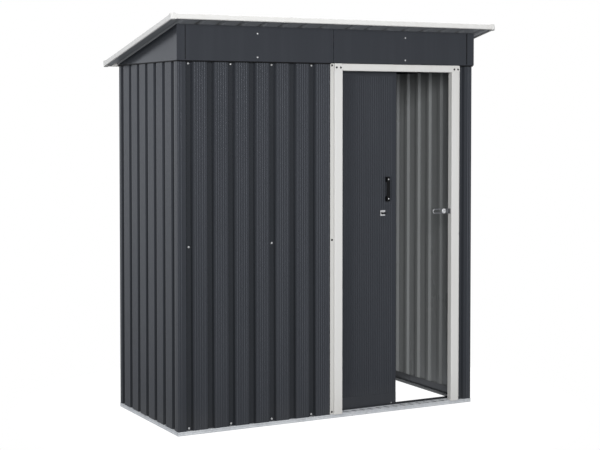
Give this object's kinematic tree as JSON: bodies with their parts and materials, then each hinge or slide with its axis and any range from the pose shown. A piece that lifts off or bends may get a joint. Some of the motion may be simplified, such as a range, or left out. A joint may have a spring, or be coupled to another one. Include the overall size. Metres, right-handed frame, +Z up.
{
  "type": "metal tool shed",
  "caption": "Small anthracite ribbed-metal tool shed with a single-slope roof, white edge trims and door frame, and one sliding door.",
  "frame": {"origin": "on the ground, under the middle of the roof's outline", "axes": "+Z up, the front with the sliding door faces -Y, +X to the right seen from the front"},
  "size_m": [1.6624, 0.834, 1.8143],
  "materials": {
    "wall_coat": "satin",
    "white_coat": "satin",
    "galvanised": "satin",
    "black_plastic": "matte",
    "bright_steel": "polished"
  },
  "bodies": {
    "shed": {"base_rail_front": "galvanised", "base_rail_back": "galvanised", "base_rail_left": "galvanised", "base_rail_right": "galvanised", "door_sill": "galvanised", "door_track_bottom": "wall_coat", "corner_post_front_left": "wall_coat", "corner_post_front_right": "wall_coat", "corner_post_back_left": "wall_coat", "corner_post_back_right": "wall_coat", "front_wall_sheet": "wall_coat", "front_wall_strip": "wall_coat", "left_wall_sheet": "wall_coat", "right_wall_sheet": "wall_coat", "back_wall_sheet_left": "wall_coat", "back_wall_sheet_right": "wall_coat", "top_rail_front": "wall_coat", "top_rail_back": "wall_coat", "top_rail_left": "wall_coat", "top_rail_right": "wall_coat", "front_wall_brace": "wall_coat", "door_jamb_left": "white_coat", "door_jamb_right": "white_coat", "door_header": "white_coat", "door_track_top": "galvanised", "hasp_bracket": "bright_steel", "fascia_left": "wall_coat", "fascia_right": "wall_coat", "fascia_corners": "wall_coat", "gable_left": "wall_coat", "gable_right": "wall_coat", "roof_sheet_left": "wall_coat", "roof_sheet_right": "wall_coat", "roof_beam": "galvanised", "roof_trim_front": "white_coat", "roof_trim_back": "white_coat", "roof_trim_left": "white_coat", "roof_trim_right": "white_coat", "roof_corner_caps": "white_coat"},
    "door": {"door_leaf": "wall_coat", "door_top_rail": "wall_coat", "door_bottom_rail": "wall_coat", "door_handle": "black_plastic", "door_staple": "bright_steel", "door_glides": "black_plastic"},
    "hasp": {"lock_hasp": "bright_steel"}
  },
  "joints": [
    {"name": "door_slide", "type": "slide", "parent": "shed", "child": "door", "axis": [1, 0, 0], "range_m": [-0.255, 0.293]},
    {"name": "hasp_swing", "type": "hinge", "parent": "shed", "child": "hasp", "pos_m": [0.6412, -0.29668, 0.926], "axis": [0, 0, 1], "range_deg": [-14, 90]}
  ]
}
